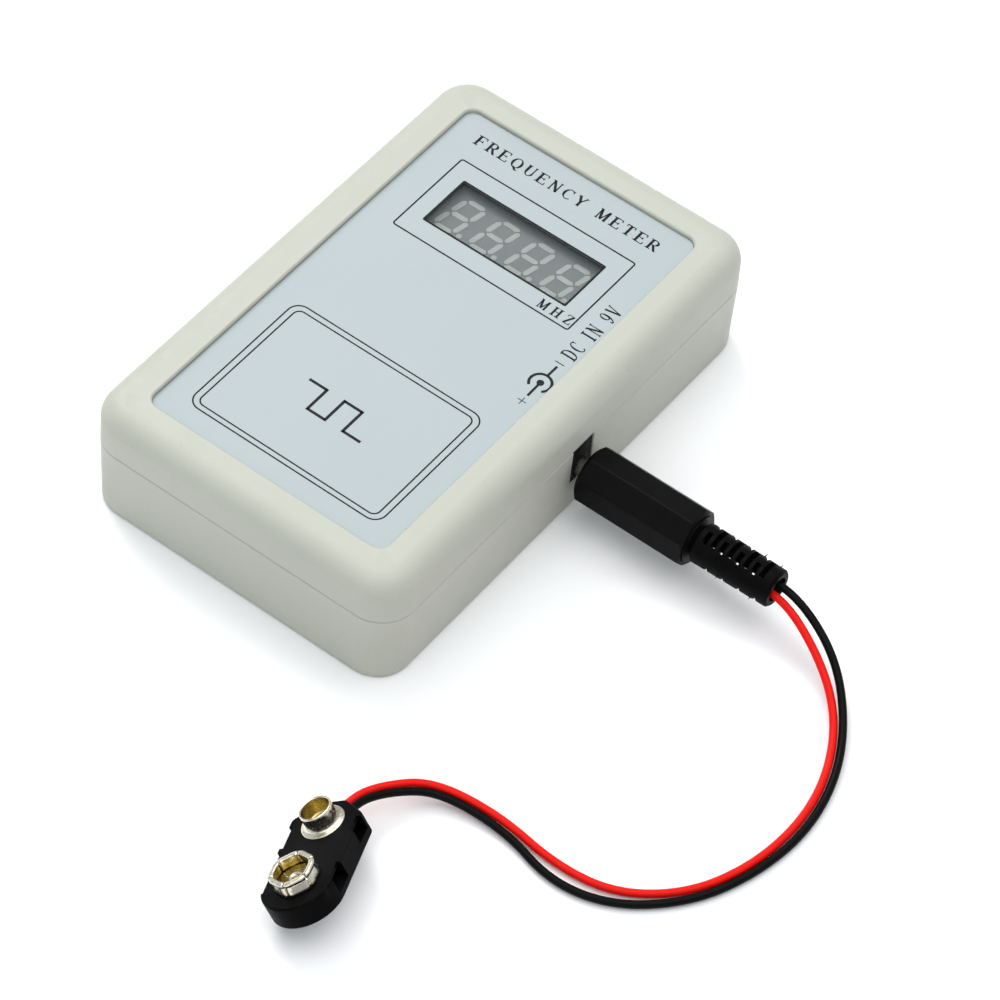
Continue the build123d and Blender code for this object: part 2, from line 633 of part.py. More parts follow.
def make_plug_centre_contact():
    front, rear = SOCKET_TIP_X + 0.4, SHELL_FRONT_X + 9.0
    tube = rod(CENTRE_CONTACT_R - 0.01, front, rear)
    tube -= rod(CENTRE_CONTACT_BORE_R, front - 1, SOCKET_FACE_X + 1.7)
    return tube + block((rear - 0.5, SOCKET_Y - 0.8, SOCKET_Z - 0.15),
                        (SHELL_FRONT_X + TAB_END, SOCKET_Y + 0.8, SOCKET_Z + 0.15))


def relief_slot(x, start, end):
    """Wedge across the sleeve at one station, over an arc given from +Y towards +Z."""
    angles = [math.radians(start + (end - start) * i / 4) for i in range(5)]
    corners = [(0, 0)] + [(6 * math.cos(angle), 6 * math.sin(angle)) for angle in angles]
    wedge = extrude(make_face(Polyline(*corners, close=True)), RELIEF_SLOT_WIDTH / 2, both=True)
    return Plane((x, SOCKET_Y, SOCKET_Z), x_dir=(0, 1, 0), z_dir=(1, 0, 0)) * wedge


def make_plug_strain_relief():
    """Tapered sleeve with rings of slots at alternate angles, so that it bends."""
    neck_end = SHELL_REAR_X + RELIEF_NECK
    profile = Plane.XZ * make_face(Polyline(
        (SHELL_REAR_X - 4.0, RELIEF_BORE_R), (SHELL_REAR_X - 4.0, 2.7), (neck_end, 2.7),
        (neck_end, RELIEF_START_R - 0.2), (RELIEF_START_X, RELIEF_START_R),
        (RELIEF_END_X - 0.4, RELIEF_END_R), (RELIEF_END_X, RELIEF_END_R - 0.4),
        (RELIEF_END_X, RELIEF_BORE_R), close=True))
    sleeve = Pos(0, SOCKET_Y, SOCKET_Z) * revolve(profile, Axis.X)
    for i in range(RELIEF_SLOT_COUNT):
        x = RELIEF_START_X + RELIEF_SLOT_START + i * RELIEF_SLOT_SPACING
        for start, end in RELIEF_SLOT_ARCS[i % 2]:
            sleeve -= relief_slot(x, start, end)
    return sleeve


# ------------------------------------------------------------------------------- wires
def corner_radii(route):
    """The largest arc that each corner's two runs allow, and the corner's turn in degrees."""
    radii = []
    for before, here, after in zip(route, route[1:], route[2:]):
        arriving, leaving = Vector(here) - Vector(before), Vector(after) - Vector(here)
        turn = arriving.get_angle(leaving)
        shorter = min(arriving.length, leaving.length)
        radii.append((0.45 * shorter / math.tan(math.radians(turn / 2)), turn))
    return radii


def make_wire(name, route):
    bends = corner_radii(route)
    path = FilletPolyline(*route, radius=[radius for radius, _ in bends])
    wire = sweep(Plane(route[0], z_dir=Vector(route[1]) - Vector(route[0])) * Circle(WIRE_R), path=path)
    print(name, "length %.1f" % path.length, "radii", ["%.1f" % radius for radius, _ in bends],
          "largest turn %.0f" % max(turn for _, turn in bends),
          "volume over section times length %.4f" % (wire.volume / (math.pi * WIRE_R ** 2 * path.length)))
    return wire


# -------------------------------------------------------------------- battery snap
def snap_outline(inset):
    """Outline of the snap: tapered towards the wires' end, round at the crown's end."""
    half = SNAP_HALF_WIDTH - inset
    start, shoulder, centre = -11.4 + inset, -8.0 + 0.45 * inset, STUD_PITCH / 2
    nose = 2.3 - 0.35 * inset
    sides = Polyline((centre, -half), (shoulder, -half), (start, -nose), (start, nose),
                     (shoulder, half), (centre, half))
    return make_face(sides + RadiusArc((centre, half), (centre, -half), half))


def make_snap_housing():
    housing = Pos(0, 0, -SNAP_THICKNESS) * extrude(snap_outline(0), SNAP_THICKNESS)
    upright = housing.edges().filter_by(Axis.Z)
    housing = fillet(upright.filter_by_position(Axis.X, -12, -7), 1.2)
    housing = fillet(edges_at(housing, 0), SNAP_EDGE_R)
    housing = fillet(edges_at(housing, -SNAP_THICKNESS), SNAP_EDGE_R)
    cavity = extrude(snap_outline(SNAP_WALL), SNAP_THICKNESS - SNAP_TOP + 1)
    housing -= Pos(0, 0, -SNAP_THICKNESS - 1) * cavity
    for x in (-STUD_PITCH / 2, STUD_PITCH / 2):
        housing -= post(1.25, -3, 1, x, 0)
    for low, high, depth in SNAP_WINDOWS:
        housing -= block((low, SNAP_HALF_WIDTH - 0.8, depth), (high, SNAP_HALF_WIDTH + 1, 1))
        housing -= block((low, SNAP_HALF_WIDTH - 1.9, depth), (high, SNAP_HALF_WIDTH, -SNAP_TOP + 0.4))
    for low, high in SNAP_RECESSES:
        housing -= block((low, -SNAP_HALF_WIDTH - 1, -3.0), (high, 0.85 - SNAP_HALF_WIDTH, 1))
    housing -= block((-14, -1.6, -3.0), (-9.2, 2.7, -1.25))
    return snap_frame() * housing


def make_snap_cover():
    plate = Pos(0, 0, -SNAP_THICKNESS) * extrude(snap_outline(SNAP_WALL + 0.05), 1.0)
    return snap_frame() * plate


def rivet_shank():
    """Hollow shank and rolled head that hold a contact to the snap's upper face."""
    shank = post(1.2, -1.6, 0.2) + post(2.0, -1.8, -1.5)
    return shank - post(0.8, -3, 1)


def make_snap_cup_contact():
    cup = post(CUP_R, 0.3, CUP_HEIGHT) - post(CUP_R - 0.35, 0.6, CUP_HEIGHT + 1)
    cup = fillet(edges_at(cup, CUP_HEIGHT), 0.15)
    flange = fillet(edges_at(post(CUP_FLANGE_R, 0, 0.32), 0.32), 0.12)
    stud = flange + cup - post(0.8, -1, 1) + rivet_shank()
    return snap_frame() * Pos(-STUD_PITCH / 2, 0, 0) * stud


def make_snap_crown_contact():
    """Six springy petals round a cup, waisted so that they grip the battery's stud."""
    r, top = CROWN_R, CROWN_HEIGHT
    profile = Plane.XZ * make_face(Polyline(
        (0.8, 0), (r - 0.35, 0), (r, 0.5), (r - 0.1, top - 0.45), (r - 0.45, top),
        (r - 1.15, top - 0.05), (r - 1.0, top - 0.35), (r - 0.55, top - 0.5), (r - 0.4, top - 0.8),
        (r - 0.4, 0.6), (r - 0.6, 0.32), (0.8, 0.32), close=True))
    crown = revolve(profile, Axis.Z)
    hexagon = Pos(0, 0, -1) * extrude(RegularPolygon(CROWN_R - 0.12, 6, major_radius=False), 6)
    crown = crown & hexagon
    for i in range(6):
        slit = Pos(CROWN_R, 0, 0.75 + CROWN_HEIGHT / 2) * Box(3.0, 0.4, CROWN_HEIGHT)
        crown -= Rot(0, 0, 60 * i) * slit
    return snap_frame() * Pos(STUD_PITCH / 2, 0, 0) * (crown + rivet_shank())


def make_negative_tag():
    tag = post(2.0, -1.5, -1.2, -STUD_PITCH / 2, 0) + block((-9.3, 1.1, -1.5), (-STUD_PITCH / 2, 1.9, -1.2))
    tag += block((-9.3, 1.1, -1.5), (-8.0, 2.5, -1.2))
    return snap_frame() * (tag - post(1.2, -3, 1, -STUD_PITCH / 2, 0))


def make_positive_tag():
    tag = post(2.0, -1.5, -1.2, STUD_PITCH / 2, 0) + block((3.5, -4.2, -1.5), (6.5, -1.2, -1.2))
    tag += block((-8.4, -4.2, -1.5), (6.5, -2.9, -1.2)) + block((-9.6, -1.6, -1.5), (-8.6, 0.0, -1.2))
    tag += block((-8.9, -2.9, -1.5), (-8.4, -1.0, -1.2)) + block((-8.6, -3.4, -1.5), (-8.1, -2.6, -1.2))
    return snap_frame() * (tag - post(1.2, -3, 1, STUD_PITCH / 2, 0))


# ------------------------------------------------------------------------------- write
NODES = {
    "top_cover": make_top_cover,
    "bottom_cover": make_bottom_cover,
    "front_label": make_front_label,
    "display_window": make_display_window,
    "case_screws": make_case_screws,
    "main_pcb": make_main_pcb,
    "pcb_screws": make_pcb_screws,
    "led_display_body": make_led_display_body,
    "led_segments": make_led_segments,
    "led_display_pins": make_led_display_pins,
    "microcontroller_body": make_microcontroller_body,
    "microcontroller_legs": make_microcontroller_legs,
    "prescaler_body": make_prescaler_body,
    "prescaler_legs": make_prescaler_legs,
    "voltage_regulator": make_voltage_regulator,
    "regulator_legs": make_regulator_legs,
    "crystal_can": make_crystal_can,
    "crystal_legs": make_crystal_legs,
    "electrolytic_capacitors": make_electrolytic_capacitors,
    "capacitor_legs": make_capacitor_legs,
    "chip_resistors": make_chip_resistors,
    "chip_capacitors": make_chip_capacitors,
    "digit_driver_transistors": make_digit_drivers,
    "protection_diode": make_protection_diode,
    "pickup_loop": make_pickup_loop,
    "dc_jack_body": make_dc_jack_body,
    "dc_jack_centre_pin": make_dc_jack_centre_pin,
    "dc_jack_spring_contact": make_dc_jack_spring,
    "dc_jack_switch_contact": make_dc_jack_switch_contact,
    "plug_shell": make_plug_shell,
    "plug_strain_relief": make_plug_strain_relief,
    "plug_collar": make_plug_collar,
    "plug_barrel": make_plug_barrel,
    "plug_insulator": make_plug_insulator,
    "plug_centre_contact": make_plug_centre_contact,
    "red_wire": lambda: make_wire("red_wire", RED_ROUTE),
    "black_wire": lambda: make_wire("black_wire", BLACK_ROUTE),
    "snap_housing": make_snap_housing,
    "snap_back_cover": make_snap_cover,
    "snap_cup_contact": make_snap_cup_contact,
    "snap_crown_contact": make_snap_crown_contact,
    "snap_negative_tag": make_negative_tag,
    "snap_positive_tag": make_positive_tag,
}

os.makedirs("parts", exist_ok=True)
for node, make in NODES.items():
    shape = make()
    export_step(shape, f"parts/{node}.step")
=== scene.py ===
"""Looks of a handheld frequency counter with its battery lead plugged in."""
import json
import math

import bmesh
import bpy
from mathutils import Matrix, Vector


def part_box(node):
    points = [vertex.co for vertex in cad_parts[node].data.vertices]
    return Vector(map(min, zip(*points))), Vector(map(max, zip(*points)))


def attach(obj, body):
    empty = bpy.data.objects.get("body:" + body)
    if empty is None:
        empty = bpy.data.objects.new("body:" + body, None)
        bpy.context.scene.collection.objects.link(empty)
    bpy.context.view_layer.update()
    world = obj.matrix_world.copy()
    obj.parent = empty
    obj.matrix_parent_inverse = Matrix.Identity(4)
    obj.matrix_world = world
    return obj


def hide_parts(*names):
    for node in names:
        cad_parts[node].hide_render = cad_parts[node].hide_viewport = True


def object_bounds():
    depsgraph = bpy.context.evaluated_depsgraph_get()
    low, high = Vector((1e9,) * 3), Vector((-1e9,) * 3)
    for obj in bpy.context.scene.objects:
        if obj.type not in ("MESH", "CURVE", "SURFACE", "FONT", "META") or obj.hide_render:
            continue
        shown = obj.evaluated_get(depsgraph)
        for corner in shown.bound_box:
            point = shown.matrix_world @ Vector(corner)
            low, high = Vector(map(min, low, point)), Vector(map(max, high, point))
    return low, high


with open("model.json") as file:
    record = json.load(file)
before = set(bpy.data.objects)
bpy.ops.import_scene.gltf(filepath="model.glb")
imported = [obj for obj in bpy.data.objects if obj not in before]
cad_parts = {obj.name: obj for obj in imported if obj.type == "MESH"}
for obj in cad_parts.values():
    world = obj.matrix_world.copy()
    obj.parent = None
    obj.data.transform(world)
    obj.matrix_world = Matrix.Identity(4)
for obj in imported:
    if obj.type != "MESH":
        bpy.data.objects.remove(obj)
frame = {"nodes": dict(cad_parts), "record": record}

cad_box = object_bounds()
MM = 0.001
nodes = frame["nodes"]

# ------------------------------------------------------------------ places taken from the frame
LABEL_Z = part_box("front_label")[1][2]
RELIEF_LOW, RELIEF_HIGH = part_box("plug_strain_relief")
SOCKET_Y = (RELIEF_LOW[1] + RELIEF_HIGH[1]) / 2
SOCKET_Z = (RELIEF_LOW[2] + RELIEF_HIGH[2]) / 2
# Painted shade: the sides of the opening in the cover, behind the window plate, are painted dark where the
# real walls lie in shadow.
SHADED_OPENING_LOW, SHADED_OPENING_HIGH = (-16.0, 16.8, 20.4), (16.0, 30.8, 22.85)
MOUNTS = {mount["name"]: mount for mount in frame["record"]["mounts"]}
STUD_AXIS = Vector(MOUNTS["snap_cup_stud"]["axis"]).normalized()
# Each contact's mount lies that many millimetres above the snap's face.
CUP_MOUNT_HEIGHT, CROWN_MOUNT_HEIGHT = 1.8, 2.7
CUP_CENTRE = Vector(MOUNTS["snap_cup_stud"]["pos_m"]) - STUD_AXIS * CUP_MOUNT_HEIGHT * MM
CROWN_CENTRE = Vector(MOUNTS["snap_crown_socket"]["pos_m"]) - STUD_AXIS * CROWN_MOUNT_HEIGHT * MM
SNAP_ALONG = (CROWN_CENTRE - CUP_CENTRE).normalized()
SNAP_ACROSS = STUD_AXIS.cross(SNAP_ALONG)


# ------------------------------------------------------------------------------- camera
CAMERA_AZIMUTH, CAMERA_ELEVATION, CAMERA_ROLL = 32.73, 51.0, 5.82     # degrees
CAMERA_TARGET, CAMERA_DISTANCE = (27.3, -14.85, 12.0), 762.64          # millimetres
CAMERA_LENS, CAMERA_SENSOR = 166.27, 36.0                              # millimetres


def aim_camera():
    """The camera stands off the power socket's near corner and looks down at the label."""
    azimuth, elevation, roll = (math.radians(a) for a in (CAMERA_AZIMUTH, CAMERA_ELEVATION, CAMERA_ROLL))
    back = Vector((math.sin(azimuth) * math.cos(elevation), -math.cos(azimuth) * math.cos(elevation),
                   math.sin(elevation)))
    right = Vector((math.cos(azimuth), math.sin(azimuth), 0))
    up = back.cross(right)
    rolled_right = math.cos(roll) * right + math.sin(roll) * up
    rolled_up = -math.sin(roll) * right + math.cos(roll) * up
    turn = Matrix((rolled_right, rolled_up, back)).transposed().to_4x4()
    target, distance = Vector(CAMERA_TARGET) * MM, CAMERA_DISTANCE * MM
    data = bpy.data.cameras.new("camera")
    data.sensor_width = CAMERA_SENSOR
    data.lens = CAMERA_LENS
    data.clip_start, data.clip_end = 0.01, 20
    camera = bpy.data.objects.new("camera", data)
    camera.matrix_world = Matrix.Translation(target + distance * back) @ turn
    bpy.context.collection.objects.link(camera)
    bpy.context.scene.camera = camera


aim_camera()


# ---------------------------------------------------------------------------- materials
class Paint:
    """A node material, built step by step on one Principled shader."""

    def __init__(self, name, colour, roughness, metallic=0.0):
        self.material = bpy.data.materials.new(name)
        self.material.use_nodes = True
        self.tree = self.material.node_tree
        self.shader = self.tree.nodes["Principled BSDF"]
        self.set(Base_Color=(*colour, 1), Roughness=roughness, Metallic=metallic)
        self.place = self.tree.nodes.new("ShaderNodeTexCoord").outputs["Object"]
        self.height = None

    def set(self, **sockets):
        """Sets the shader's own sockets, named with _ for each space."""
        for name, value in sockets.items():
            self.shader.inputs[name.replace("_", " ")].default_value = value

    def node(self, kind, **settings):
        made = self.tree.nodes.new(kind)
        for name, value in settings.items():
            setattr(made, name, value)
        return made

    def noise(self, size, detail=3.0, roughness=0.55, stretch=(1, 1, 1)):
        """Noise whose features are about size millimetres across."""
        mapping = self.node("ShaderNodeMapping")
        mapping.inputs["Scale"].default_value = stretch
        self.tree.links.new(self.place, mapping.inputs["Vector"])
        texture = self.node("ShaderNodeTexNoise")
        texture.inputs["Scale"].default_value = 1 / (size * MM)
        texture.inputs["Detail"].default_value = detail
        texture.inputs["Roughness"].default_value = roughness
        self.tree.links.new(mapping.outputs["Vector"], texture.inputs["Vector"])
        return texture.outputs["Fac"]

    def ramp(self, source, low, high, low_value=0.0, high_value=1.0):
        """Maps low to low_value and high to high_value, and holds both beyond them."""
        mapped = self.node("ShaderNodeMapRange")
        mapped.inputs["From Min"].default_value = low
        mapped.inputs["From Max"].default_value = high
        mapped.inputs["To Min"].default_value = low_value
        mapped.inputs["To Max"].default_value = high_value
        self.tree.links.new(source, mapped.inputs["Value"])
        return mapped.outputs["Result"]

    def mottle(self, other, source, low=0.4, high=0.6):
        """Blends the base colour towards another where the source is high."""
        socket = self.shader.inputs["Base Color"]
        mix = self.node("ShaderNodeMix", data_type="RGBA")
        mix.inputs[6].default_value = socket.default_value
        mix.inputs[7].default_value = (*other, 1)
        if socket.is_linked:
            self.tree.links.new(socket.links[0].from_socket, mix.inputs[6])
        self.tree.links.new(self.ramp(source, low, high), mix.inputs[0])
        self.tree.links.new(mix.outputs[2], socket)

    def rough_between(self, source, low_value, high_value):
        """Roughness that wanders between two values."""
        roughness = self.ramp(source, 0.3, 0.7, low_value, high_value)
        self.tree.links.new(roughness, self.shader.inputs["Roughness"])

    def bump(self, source, height):
        """Adds relief of that many millimetres."""
        bump = self.node("ShaderNodeBump")
        bump.inputs["Distance"].default_value = height * MM
        bump.inputs["Strength"].default_value = 1.0
        self.tree.links.new(source, bump.inputs["Height"])
        if self.height is not None:
            self.tree.links.new(self.height, bump.inputs["Normal"])
        self.height = bump.outputs["Normal"]
        self.tree.links.new(self.height, self.shader.inputs["Normal"])

    def beyond(self, direction, distance, soft=0.12):
        """1 where the surface lies more than that many millimetres along a direction, else 0."""
        along = self.node("ShaderNodeVectorMath", operation="DOT_PRODUCT")
        along.inputs[1].default_value = direction
        self.tree.links.new(self.place, along.inputs[0])
        return self.ramp(along.outputs["Value"], (distance - soft) * MM, (distance + soft) * MM)

    def both(self, first, second, operation="MINIMUM"):
        """1 where both masks are 1, or with MAXIMUM where either is."""
        joined = self.node("ShaderNodeMath", operation=operation)
        self.tree.links.new(first, joined.inputs[0])
        self.tree.links.new(second, joined.inputs[1])
        return joined.outputs["Value"]

    def inside(self, low, high):
        """1 inside an upright box given by two corners in millimetres, else 0."""
        mask = None
        for axis in range(3):
            direction = [float(k == axis) for k in range(3)]
            above = self.beyond(direction, low[axis], 0.05)
            below = self.beyond([-d for d in direction], -high[axis], 0.05)
            side = self.both(above, below)
            mask = side if mask is None else self.both(mask, side)
        return mask

    def edge_wear(self, colour, low=0.52, high=0.56):
        """Paler edges, where handling has polished the surface."""
        geometry = self.node("ShaderNodeNewGeometry")
        self.mottle(colour, geometry.outputs["Pointiness"], low, high)


def abs_case():
    """Moulded plastic with a spark-eroded texture and a slow change of shade."""
    colour = (0.412, 0.425, 0.366)
    paint = Paint("abs_case", colour, 0.50)
    fine = paint.noise(0.32, 4.0, 0.6)
    slow = paint.noise(18.0, 2.0)
    paint.mottle((0.402, 0.415, 0.356), slow, 0.35, 0.7)
    paint.mottle([c * 0.90 for c in colour], paint.noise(0.9, 5.0), 0.60, 0.78)
    paint.rough_between(paint.noise(4.0, 4.0), 0.45, 0.57)
    paint.bump(fine, 0.010)
    paint.edge_wear((0.43, 0.44, 0.385))
    # Painted shade: the sides of the display opening are darkened where they lie in shadow.
    paint.mottle((0.085, 0.083, 0.075), paint.inside(SHADED_OPENING_LOW, SHADED_OPENING_HIGH))
    paint.set(IOR=1.46)
    return paint.material


def label_film():
    paint = Paint("label_film", (0.358, 0.408, 0.416), 0.50)
    paint.mottle((0.350, 0.400, 0.408), paint.noise(26.0, 1.0), 0.3, 0.75)
    paint.mottle((0.371, 0.420, 0.427), paint.noise(0.18, 2.0), 0.55, 0.75)
    paint.rough_between(paint.noise(3.0, 3.0), 0.47, 0.53)
    paint.set(Specular_IOR_Level=0.30)
    paint.bump(paint.noise(0.22, 3.0), 0.004)
    return paint.material


def printing_ink():
    paint = Paint("printing_ink", (0.002, 0.003, 0.004), 0.50)
    paint.mottle((0.008, 0.010, 0.012), paint.noise(0.25, 3.0), 0.5, 0.75)
    paint.set(Specular_IOR_Level=0.2)
    paint.bump(paint.noise(0.15, 2.0), 0.002)
    return paint.material


def window_plate():
    paint = Paint("window_plate", (0.10, 0.105, 0.105), 0.08)
    paint.set(Alpha=0.14, IOR=1.5)
    paint.rough_between(paint.noise(2.5, 4.0), 0.05, 0.14)
    paint.bump(paint.noise(1.5, 3.0), 0.001)
    return paint.material


def display_face():
    paint = Paint("display_face", (0.203, 0.232, 0.233), 0.45)
    paint.mottle((0.214, 0.243, 0.244), paint.noise(6.0, 3.0), 0.35, 0.7)
    # Painted shade: the face is painted a shade bluer along its far side and left end, where the window's
    # edges shade it.
    far_shade_side, left_shade_end = paint.beyond((-0.04, 1.0, 0.0), 28.5), paint.beyond((-1.0, 0.05, 0.0), 15.7)
    painted_shade_band = paint.both(far_shade_side, left_shade_end, "MAXIMUM")
    paint.mottle((0.206, 0.232, 0.240), painted_shade_band)
    paint.mottle((0.33, 0.33, 0.32), paint.noise(0.45, 1.0), 0.76, 0.78)
    paint.bump(paint.noise(0.3, 3.0), 0.0015)
    return paint.material


def display_segment():
    paint = Paint("display_segment", (0.50, 0.54, 0.51), 0.40)
    paint.mottle((0.46, 0.50, 0.47), paint.noise(1.2, 3.0), 0.4, 0.7)
    paint.set(Subsurface_Weight=0.10)
    paint.bump(paint.noise(0.3, 3.0), 0.003)
    return paint.material


def black_moulding(name, shade, roughness, gloss=0.035):
    """Black plastic with the faint sheen of a fine texture and a little dust."""
    paint = Paint(name, (shade, shade, shade * 1.1), roughness)
    paint.mottle((shade * 1.6, shade * 1.6, shade * 1.7), paint.noise(5.0, 4.0), 0.45, 0.75)
    paint.mottle((0.010, 0.010, 0.010), paint.noise(0.35, 2.0), 0.74, 0.82)
    paint.rough_between(paint.noise(1.6, 4.0), roughness - 0.06, roughness + 0.10)
    paint.bump(paint.noise(0.16, 4.0, 0.6), 0.006)
    paint.edge_wear((0.006, 0.006, 0.0065), 0.54, 0.62)
    paint.set(Specular_IOR_Level=gloss)
    return paint.material


def relief_rubber():
    paint = Paint("relief_rubber", (0.0014, 0.0014, 0.0016), 0.48)
    paint.mottle((0.0028, 0.0028, 0.0030), paint.noise(2.0, 4.0), 0.45, 0.7)
    paint.rough_between(paint.noise(0.8, 4.0), 0.38, 0.58)
    paint.bump(paint.noise(0.14, 4.0), 0.008)
    paint.set(Specular_IOR_Level=0.04)
    return paint.material


def wire_pvc(name, colour, dark, gloss):
    paint = Paint(name, colour, 0.36)
    paint.mottle(dark, paint.noise(1.5, 3.0), 0.4, 0.75)
    paint.rough_between(paint.noise(0.7, 4.0), 0.30, 0.46)
    paint.bump(paint.noise(0.25, 4.0), 0.005)
    paint.set(Specular_IOR_Level=gloss)
    return paint.material


def plating(name, colour, tarnish, roughness):
    """Plated sheet metal with fine drawing marks and a few dull spots."""
    paint = Paint(name, colour, roughness, 1.0)
    paint.mottle(tarnish, paint.noise(1.1, 4.0), 0.54, 0.74)
    paint.rough_between(paint.noise(0.5, 5.0), roughness - 0.05, roughness + 0.14)
    paint.bump(paint.noise(0.10, 4.0, stretch=(1, 1, 6)), 0.003)
    return paint.material


def board_resist():
    paint = Paint("board_resist", (0.018, 0.105, 0.045), 0.32)
    paint.mottle((0.030, 0.150, 0.065), paint.noise(1.4, 1.0, stretch=(1, 3, 1)), 0.52, 0.55)
    paint.rough_between(paint.noise(2.0), 0.26, 0.42)
    paint.bump(paint.noise(0.5, 3.0), 0.006)
    return paint.material


def ceramic(name, colour):
    paint = Paint(name, colour, 0.45)
    paint.mottle([c * 0.75 for c in colour], paint.noise(0.5, 4.0), 0.4, 0.7)
    paint.bump(paint.noise(0.2, 3.0), 0.004)
    return paint.material


def copper_wire():
    paint = Paint("copper_wire", (0.60, 0.24, 0.10), 0.28, 1.0)
    paint.mottle((0.42, 0.15, 0.06), paint.noise(1.0, 4.0), 0.4, 0.7)
    paint.bump(paint.noise(0.2, 3.0), 0.004)
    return paint.material


def stage_floor():
    paint = Paint("stage_floor", (0.90, 0.905, 0.91), 0.75)
    paint.mottle((0.89, 0.895, 0.90), paint.noise(60.0, 3.0), 0.3, 0.7)
    paint.bump(paint.noise(0.8, 3.0), 0.01)
    return paint.material


TINNED = plating("tinned_metal", (0.62, 0.62, 0.60), (0.42, 0.42, 0.40), 0.24)
NICKEL = plating("bright_nickel", (0.72, 0.68, 0.57), (0.50, 0.45, 0.34), 0.15)
DULL_NICKEL = plating("dull_nickel", (0.22, 0.21, 0.185), (0.14, 0.13, 0.11), 0.30)
ZINC = plating("zinc_plate", (0.60, 0.61, 0.62), (0.40, 0.40, 0.38), 0.27)
BRASS = plating("bare_brass", (0.52, 0.43, 0.18), (0.34, 0.27, 0.10), 0.24)
CHIP_EPOXY = black_moulding("chip_epoxy", 0.012, 0.50, gloss=0.3)
CASE = abs_case()
INK = printing_ink()

NODE_MATERIALS = {
    "top_cover": CASE,
    "bottom_cover": CASE,
    "front_label": label_film(),
    "display_window": window_plate(),
    "case_screws": ZINC,
    "main_pcb": board_resist(),
    "pcb_screws": ZINC,
    "led_display_body": display_face(),
    "led_segments": display_segment(),
    "led_display_pins": TINNED,
    "microcontroller_body": CHIP_EPOXY,
    "microcontroller_legs": TINNED,
    "prescaler_body": CHIP_EPOXY,
    "prescaler_legs": TINNED,
    "voltage_regulator": CHIP_EPOXY,
    "regulator_legs": TINNED,
    "crystal_can": TINNED,
    "crystal_legs": TINNED,
    "electrolytic_capacitors": black_moulding("capacitor_sleeve", 0.014, 0.28, gloss=0.4),
    "capacitor_legs": TINNED,
    "chip_resistors": ceramic("resistor_glaze", (0.05, 0.05, 0.055)),
    "chip_capacitors": ceramic("capacitor_ceramic", (0.42, 0.28, 0.16)),
    "digit_driver_transistors": CHIP_EPOXY,
    "protection_diode": CHIP_EPOXY,
    "pickup_loop": copper_wire(),
    "dc_jack_body": black_moulding("jack_nylon", 0.002, 0.42),
    "dc_jack_centre_pin": TINNED,
    "dc_jack_spring_contact": TINNED,
    "dc_jack_switch_contact": TINNED,
    "plug_shell": black_moulding("plug_plastic", 0.0012, 0.36, gloss=0.07),
    "plug_strain_relief": relief_rubber(),
    "plug_collar": NICKEL,
    "plug_barrel": DULL_NICKEL,
    "plug_insulator": CHIP_EPOXY,
    "plug_centre_contact": BRASS,
    "snap_housing": black_moulding("snap_plastic", 0.0014, 0.42, gloss=0.032),
    "snap_back_cover": black_moulding("snap_vinyl", 0.0045, 0.50),
    "snap_cup_contact": NICKEL,
    "snap_crown_contact": NICKEL,
    "snap_negative_tag": TINNED,
    "snap_positive_tag": TINNED,
}
for node, material in NODE_MATERIALS.items():
    data = nodes[node].data
    data.materials.clear()
    data.materials.append(material)


# -------------------------------------------------------------------------------- wires
RED_ROUTE = [
    (48.0, 1.95, 8.6), (57.0, 1.15, 8.1), (68.0, 1.15, 8.1), (75.3, 1.3, 7.5), (85.7, -3.1, 3.9),
    (92.8, -9.3, 1.5), (97.8, -19.3, 0.9), (99.5, -29.7, 0.75), (98.1, -41.1, 0.75), (93.5, -51.4, 0.75),
    (84.9, -58.8, 0.75), (74.2, -60.6, 0.75), (61.6, -58.8, 1.0), (49.9, -61.1, 2.4), (44.7, -67.6, 3.7),
    (42.5, -73.5, 4.5), (43.1, -78.8, 4.7),
]
BLACK_ROUTE = [
    (48.0, 1.95, 10.5), (57.0, 2.75, 9.1), (68.0, 2.75, 9.1), (76.3, 2.9, 8.4), (86.3, -0.6, 4.6),
    (94.1, -8.6, 1.7), (99.3, -18.8, 0.9), (101.2, -30.4, 0.75), (99.4, -42.0, 0.75), (94.8, -52.4, 0.75),
    (86.0, -60.9, 0.75), (75.4, -63.7, 0.75), (64.1, -60.5, 0.9), (52.0, -61.8, 2.0), (46.9, -67.1, 3.6),
    (43.7, -73.8, 5.0), (44.9, -78.0, 5.9),
]
WIRE_DIAMETER = 1.42 * MM


def lay_wire(name, route, material, node):
    """One wire of the lead, from the tabs in the plug to the tags in the snap."""
    curve = bpy.data.curves.new(name, "CURVE")
    curve.dimensions = "3D"
    spline = curve.splines.new("NURBS")
    spline.points.add(len(route) - 1)
    for point, place in zip(spline.points, route):
        point.co = (*(value * MM for value in place), 1)
    spline.order_u = 3
    spline.use_endpoint_u = True
    spline.resolution_u = 12
    curve.bevel_depth = WIRE_DIAMETER / 2
    curve.bevel_resolution = 6
    curve.use_fill_caps = True
    curve.materials.append(material)
    wire = bpy.data.objects.new(name, curve)
    bpy.context.collection.objects.link(wire)
    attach(wire, "battery_lead")
    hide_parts(node)


RED = wire_pvc("red_insulation", (0.70, 0.006, 0.002), (0.64, 0.005, 0.002), 0.12)
BLACK = wire_pvc("black_insulation", (0.0016, 0.0016, 0.0018), (0.003, 0.003, 0.0032), 0.07)
lay_wire("red_lead", RED_ROUTE, RED, "red_wire")
lay_wire("black_lead", BLACK_ROUTE, BLACK, "black_wire")


